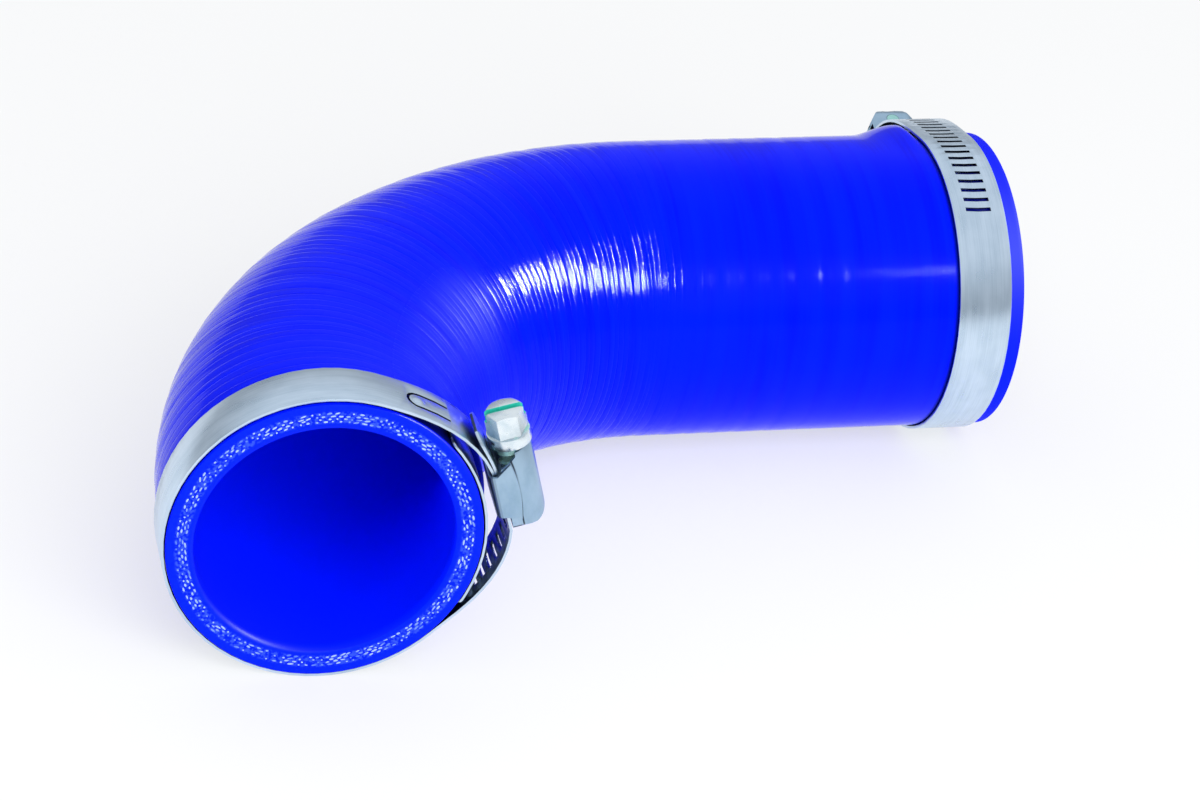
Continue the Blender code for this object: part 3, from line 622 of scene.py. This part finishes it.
def make_elbow(place, look, cut_look, near_turn, far_turn):
    """The wall's section swept once round and then bent to the hose's path."""
    sizes = {
        "Sides": SIDES,
        "Near straight": NEAR_STRAIGHT,
        "Bend radius": BEND_RADIUS,
        "Bend angle": BEND_ANGLE,
        "Tape pitch": TAPE_PITCH,
        "Tape step": TAPE_STEP,
        "Tape drift": TAPE_DRIFT,
        "Crease depth": CREASE_DEPTH,
        "Crease spacing": CREASE_SPACING,
        "Bend depth": BEND_CREASE_DEPTH,
        "Bend spacing": BEND_CREASE_SPACING,
        "Near housing turn": near_turn,
        "Far housing turn": far_turn,
        "Swell height": SWELL_HEIGHT,
    }
    tree, inputs = geometry_tree("moulded_elbow", sizes)
    section = inputs["Geometry"]
    spot = axes_of(tree, add(tree, "GeometryNodeInputPosition").outputs[0])
    for label, value in (("along", spot[0]), ("reach", spot[1])):
        kept = {"Geometry": section, "Name": label, "Value": value}
        section = add(tree, "GeometryNodeStoreNamedAttribute", kept).outputs[0]
    line = add(tree, "GeometryNodeCurvePrimitiveLine").outputs[0]
    count = inputs["Sides"] + 1
    line = add(tree, "GeometryNodeResampleCurve", {"Curve": line, "Count": count}).outputs[0]
    share = add(tree, "GeometryNodeSplineParameter").outputs["Factor"]
    kept = {"Geometry": line, "Name": "turn", "Value": share}
    line = add(tree, "GeometryNodeStoreNamedAttribute", kept).outputs[0]
    swept = add(tree, "GeometryNodeCurveToMesh", {"Curve": line, "Profile Curve": section}).outputs[0]

    def read(label):
        made = add(tree, "GeometryNodeInputNamedAttribute", {"Name": label})
        return Formula(tree, made.outputs["Attribute"])

    along, turn, reach = read("along"), read("turn"), read("reach")
    radius = reach - skin_relief(tree, along, turn, reach, inputs)
    bend_length = inputs["Bend radius"] * inputs["Bend angle"]
    before = along.calc("MINIMUM", inputs["Near straight"]) - inputs["Near straight"]
    bend = (along - inputs["Near straight"]).clamped(0.0, bend_length) / inputs["Bend radius"]
    beyond = (along - inputs["Near straight"] - bend_length).calc("MAXIMUM", 0.0)
    sine, cosine = bend.calc("SINE"), bend.calc("COSINE")
    angle = turn * (2 * pi)
    inwards, upward = radius * angle.calc("COSINE"), radius * angle.calc("SINE")
    x = inputs["Bend radius"] * (cosine * -1.0 + 1.0) + beyond * sine + inwards * cosine
    y = inputs["Bend radius"] * sine + before + beyond * cosine - inwards * sine
    bent = add(tree, "GeometryNodeSetPosition", {"Geometry": swept, "Position": triple(tree, x, y, upward)})
    closed = add(tree, "GeometryNodeMergeByDistance", {"Geometry": bent.outputs[0], "Distance": SAME_PLACE})
    smooth = add(tree, "GeometryNodeSetShadeSmooth", {"Geometry": closed.outputs[0], "Shade Smooth": True})
    close_tree(tree, smooth.outputs[0], look, place)
    elbow = grown("silicone_elbow", tree, sizes, line_object("wall_section", wall_section(), True))
    face_outwards(elbow.data)
    paint_cut_faces(elbow.data, place, cut_look)
    return elbow


def face_outwards(mesh):
    shape = bmesh.new()
    shape.from_mesh(mesh)
    bmesh.ops.recalc_face_normals(shape, faces=shape.faces)
    if shape.calc_volume(signed=True) < 0:
        bmesh.ops.reverse_faces(shape, faces=shape.faces)
    shape.to_mesh(mesh)
    shape.free()


def paint_cut_faces(mesh, place, cut_look):
    """Gives the flat end faces the cut finish."""
    mesh.materials.append(cut_look)
    for distance in (0, HOSE_LENGTH):
        centre, direction = along_hose(distance)
        centre, direction = place @ centre, place.to_3x3() @ direction
        for face in mesh.polygons:
            offset = abs((face.center - centre).dot(direction))
            if offset < THREAD_ROOM + LIP / 8 and (face.center - centre).length < 2 * HOSE_RADIUS:
                face.material_index = len(mesh.materials) - 1


def make_threads(name, end, look, seed):
    """The cut thread ends of all plies on one end face: flat grains in broken rings, flush with the cut."""
    sizes = {
        "Plies": PLIES,
        "Threads per ply": THREADS_PER_PLY,
        "Inner ply": INNER_PLY,
        "Ply pitch": PLY_PITCH,
        "Length": THREAD_LENGTH,
        "Width": THREAD_WIDTH,
        "Height": THREAD_HEIGHT,
        "Seed": seed,
    }
    tree, inputs = geometry_tree(name, sizes)
    index = Formula(tree, add(tree, "GeometryNodeInputIndex").outputs[0])

    def chance(low, high, shift):
        limits = {2: low, 3: high, "Seed": inputs["Seed"] * 10.0 + shift}
        return Formula(tree, add(tree, "FunctionNodeRandomValue", limits).outputs[1])

    ply = (index / inputs["Threads per ply"]).calc("FLOOR")
    place_in_ply = index - ply * inputs["Threads per ply"]
    angle = (place_in_ply + chance(-0.18, 0.18, 1) + ply * 0.5) / inputs["Threads per ply"] * (2 * pi)
    cosine = angle.calc("COSINE")
    sine = angle.calc("SINE")
    ring = triple(tree, cosine * 2.6, sine * 2.6, ply * 0.21 + inputs["Seed"] * 7.3)
    wave = noise(tree, ring, scale=1.0, detail=1.0)
    radius = inputs["Inner ply"] + ply * inputs["Ply pitch"] + chance(-0.05 * MM, 0.05 * MM, 2)
    radius = radius + (wave - 0.5) * (0.6 * MM)
    spot = triple(tree, cosine * radius, sine * radius, inputs["Height"] * -1.05)
    count = inputs["Plies"] * inputs["Threads per ply"]
    points = add(tree, "GeometryNodePoints", {"Count": count, "Position": spot})
    clump = noise(tree, triple(tree, cosine * 9, sine * 9, ply * 1.7), detail=1.0)
    gap = (chance(0.0, 1.0, 3) + clump * 0.9).calc("LESS_THAN", 0.62)
    kept = add(tree, "GeometryNodeDeleteGeometry", {"Geometry": points.outputs[0], "Selection": gap.socket})
    grain = add(tree, "GeometryNodeMeshUVSphere", {"Segments": 10, "Rings": 4, "Radius": 1.0}).outputs[0]
    across, upward = axes_of(tree, add(tree, "GeometryNodeInputPosition").outputs[0])[:2]
    around = upward.calc("ARCTAN2", across)
    weave = noise(tree, triple(tree, across * 290, upward * 290, 0.0), detail=1.0)
    stretch = weave.eased(0.40, 0.60) * chance(0.5, 1.1, 4) + 0.45
    lean = (weave - 0.5) * 1.2 + chance(-0.2, 0.2, 5)
    width = inputs["Width"] * chance(0.8, 1.25, 6)
    turned = {
        "Points": kept.outputs[0],
        "Instance": grain,
        "Rotation": triple(tree, 0.0, 0.0, around + pi / 2 + lean),
        "Scale": triple(tree, inputs["Length"] * stretch, width, inputs["Height"]),
    }
    placed = add(tree, "GeometryNodeInstanceOnPoints", turned)
    smooth = add(tree, "GeometryNodeSetShadeSmooth", {"Geometry": placed.outputs[0], "Shade Smooth": True})
    close_tree(tree, smooth.outputs[0], look, end)
    return grown(name, tree, sizes, line_object(name + "_base", [(0, 0), (MM, 0)], False))


# Clamps


def softened(node, name, look, edge):
    """A clamp's sheet or screw, its flats made whole, its folds smoothed and its edges eased."""
    mesh = frame["nodes"][node].data.copy()
    shape = bmesh.new()
    shape.from_mesh(mesh)
    bmesh.ops.remove_doubles(shape, verts=shape.verts, dist=SAME_PLACE)
    bmesh.ops.dissolve_limit(shape, angle_limit=FLAT_ANGLE, verts=shape.verts, edges=shape.edges)
    shape.to_mesh(mesh)
    shape.free()
    mesh.materials.clear()
    mesh.materials.append(look)
    piece = shown(name, mesh)
    bevel = piece.modifiers.new("Eased edges", "BEVEL")
    bevel.width = edge
    bevel.segments = 2
    bevel.limit_method = "ANGLE"
    bevel.angle_limit = EASED_ANGLE
    graph = bpy.context.evaluated_depsgraph_get()
    made = bpy.data.meshes.new_from_object(piece.evaluated_get(graph), depsgraph=graph)
    piece.modifiers.clear()
    piece.data = made
    piece.data.shade_smooth()
    piece.data.set_sharp_from_angle(angle=SHARP_ANGLE)
    return piece


def dress_clamp(prefix, joint, clamp):
    """All five pieces of one clamp, each on its body."""
    band = brushed_band(prefix + "_brushed_band", clamp)
    pressing = scuffed_pressing(prefix + "_scuffed_pressing", clamp)
    plated = plated_steel(prefix + "_plated_steel", clamp, head_top(prefix, clamp))
    pieces = (
        ("band", band, BAND_EDGE, "stainless_band", joint["parent"]),
        ("tongue", band, BAND_EDGE, "stainless_band", joint["parent"]),
        ("saddle", pressing, PRESSING_EDGE, "stainless_pressing", joint["parent"]),
        ("housing", pressing, PRESSING_EDGE, "stainless_pressing", joint["parent"]),
        ("screw", plated, SCREW_EDGE, "plated_screw", joint["child"]),
    )
    for part, look, edge, slot, body in pieces:
        node = prefix + "_" + part
        piece = softened(node, prefix.replace("clamp", "steel") + "_" + part, look, edge)
        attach(piece, body)
        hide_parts(node)


def head_top(prefix, clamp):
    """How far along its axis the screw's slotted top lies, in the clamp's frame."""
    back = clamp.inverted()
    return min((back @ vertex.co).y for vertex in frame["nodes"][prefix + "_screw"].data.vertices)


# Studio


def make_floor():
    """A pale sheet under the elbow, lit towards white where it is seen, with the elbow's shadow kept."""
    far = FLOOR_REACH
    mesh = bpy.data.meshes.new("floor")
    mesh.from_pydata([(-far, -far, 0), (far, -far, 0), (far, far, 0), (-far, far, 0)], [], [(0, 1, 2, 3)])
    look, tree, shader = principled("pale_floor", Roughness=0.7, Specular_IOR_Level=0.2)
    cloud = noise(tree, object_place(tree), scale=3.0)
    pale = blend_colours(tree, cloud, (0.88, 0.88, 0.88, 1.0), (0.91, 0.91, 0.91, 1.0))
    feed(tree, shader.inputs["Base Color"], pale)
    rays = add(tree, "ShaderNodeLightPath").outputs
    seen = Formula(tree, rays["Is Camera Ray"]).calc("MAXIMUM", rays["Is Glossy Ray"])
    seen = seen.calc("MAXIMUM", rays["Is Transmission Ray"])
    white = add(tree, "ShaderNodeEmission", {"Strength": 1.0})
    blend = {0: seen * FLOOR_WHITENING, 1: shader.outputs[0], 2: white.outputs[0]}
    mixed = add(tree, "ShaderNodeMixShader", blend)
    tree.links.new(mixed.outputs[0], tree.nodes["Material Output"].inputs["Surface"])
    mesh.materials.append(look)
    floor = shown("floor", mesh)


def make_world():
    """Soft light from all round, dimmer near the horizon."""
    world = bpy.data.worlds.new("studio")
    bpy.context.scene.world = world
    world.use_nodes = True
    tree = world.node_tree
    back = tree.nodes["Background"]
    height = axes_of(tree, add(tree, "ShaderNodeTexCoord").outputs["Generated"])[2]
    level = height.eased(0.05, 0.7) * (ZENITH_LEVEL - HORIZON_LEVEL) + HORIZON_LEVEL
    feed(tree, back.inputs["Strength"], level)
    feed(tree, back.inputs["Color"], (0.94, 0.97, 1.0, 1.0))


def make_lamp(name, azimuth, height, size, level, roll=0.0):
    """A soft box, placed by its direction from the elbow. Level is how bright its face is."""
    lamp = bpy.data.lights.new(name, "AREA")
    lamp.shape = "RECTANGLE"
    lamp.size, lamp.size_y = size
    lamp.energy = level * pi * lamp.size * lamp.size_y
    towards = Vector((sin(azimuth) * cos(height), cos(azimuth) * cos(height), sin(height)))
    obj = shown(name, lamp)
    turn = (-towards).to_track_quat("-Z", "Y").to_matrix().to_4x4() @ Matrix.Rotation(roll, 4, "Z")
    obj.matrix_world = Matrix.Translation(towards * LAMP_DISTANCE) @ turn
    return obj


def make_lamps(glossy_piece):
    """A broad soft key, and a narrow strip that only draws the long glint on the silicone."""
    key = make_lamp("key_box", KEY_AZIMUTH, KEY_HEIGHT, KEY_SIZE, KEY_LEVEL)
    key.visible_glossy = False
    glint = make_lamp("glint_strip", GLINT_AZIMUTH, GLINT_HEIGHT, GLINT_SIZE, GLINT_LEVEL, GLINT_ROLL)
    glint.visible_diffuse = False
    receivers = bpy.data.collections.new("glint_receivers")
    receivers.objects.link(glossy_piece)
    glint.light_linking.receiver_collection = receivers


def make_camera():
    camera = bpy.data.cameras.new("camera")
    camera.sensor_width = SENSOR_WIDTH
    camera.lens = CAMERA_LENS
    camera.clip_start = 0.01
    obj = shown("camera", camera)
    obj.location = CAMERA_PLACE
    obj.rotation_euler = CAMERA_TURN
    bpy.context.scene.camera = obj


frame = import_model()
bpy.context.scene.view_settings.view_transform = "Standard"
make_camera()
make_world()
make_floor()

hose = hose_place()
joints = {joint["name"]: joint for joint in frame["joints"]}
near_clamp = clamp_frame(hose, joints["near_screw_turn"], 0)
far_clamp = clamp_frame(hose, joints["far_screw_turn"], HOSE_LENGTH)

skin = blue_silicone(hose @ Vector((BEND_RADIUS, 0, 0)))
near_turn = housing_turn(hose, near_clamp, 0)
far_turn = housing_turn(hose, far_clamp, HOSE_LENGTH)
elbow = make_elbow(hose, skin, cut_silicone(), near_turn, far_turn)
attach(elbow, "elbow")
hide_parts("hose_elbow")
make_lamps(elbow)

thread_look = ply_thread()
for name, distance, outwards, seed in (
    ("near_end_threads", 0, -1, 1),
    ("far_end_threads", HOSE_LENGTH, 1, 2),
):
    threads = make_threads(name, end_frame(hose, distance, outwards), thread_look, seed)
    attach(threads, "elbow")

dress_clamp("near_clamp", joints["near_screw_turn"], near_clamp)
dress_clamp("far_clamp", joints["far_screw_turn"], far_clamp)
